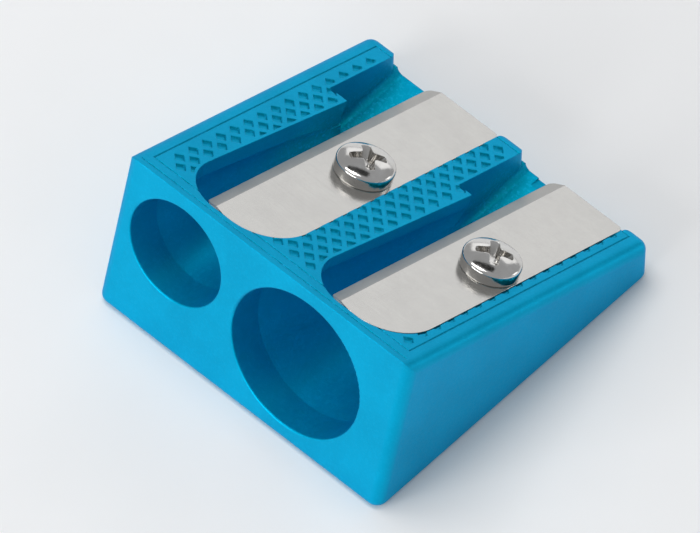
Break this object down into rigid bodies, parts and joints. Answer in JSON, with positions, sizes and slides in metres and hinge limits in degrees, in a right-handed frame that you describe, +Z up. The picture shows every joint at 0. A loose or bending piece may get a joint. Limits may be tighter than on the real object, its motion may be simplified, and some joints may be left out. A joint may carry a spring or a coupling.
{
  "type": "hand-held pencil sharpener",
  "caption": "Wedge-shaped metal hand sharpener with a small and a large pencil hole, each with a screwed-down steel blade beside its chip slot.",
  "frame": {"origin": "middle of the casing's flat underside", "axes": "+Z up, square to the underside; +X to the right, from the small hole to the large one; +Y from the front face with the holes towards the thin back end"},
  "size_m": [0.0248, 0.0261, 0.0131],
  "materials": {
    "casing_metal": "blue lacquer, semi-gloss with a fine sparkle, over cast light metal",
    "blade_steel": "ground, satin",
    "screw_steel": "nickel-plated, satin bright"
  },
  "bodies": {
    "casing": {"casing": "casing_metal"},
    "small_blade": {"small_blade": "blade_steel"},
    "large_blade": {"large_blade": "blade_steel"},
    "small_blade_screw": {"small_blade_screw": "screw_steel"},
    "large_blade_screw": {"large_blade_screw": "screw_steel"}
  },
  "joints": [
    {"name": "small_blade_lift", "type": "slide", "parent": "casing", "child": "small_blade", "axis": [0, 0.3851, 0.9229], "range_m": [0, 0.0019]},
    {"name": "small_screw_turn", "type": "hinge", "parent": "small_blade", "child": "small_blade_screw", "pos_m": [-0.00304, 0.00214, 0.00761], "axis": [0, 0.3851, 0.9229], "range_deg": [0, 1710.5]},
    {"name": "large_blade_lift", "type": "slide", "parent": "casing", "child": "large_blade", "axis": [0, 0.3851, 0.9229], "range_m": [0, 0.0019]},
    {"name": "large_screw_turn", "type": "hinge", "parent": "large_blade", "child": "large_blade_screw", "pos_m": [0.00805, 0.00214, 0.00761], "axis": [0, 0.3851, 0.9229], "range_deg": [0, 1710.5]}
  ],
  "couplings": [
    {"joint": "small_screw_turn", "follows": "small_blade_lift", "rad_per_m": 15708},
    {"joint": "large_screw_turn", "follows": "large_blade_lift", "rad_per_m": 15708}
  ]
}
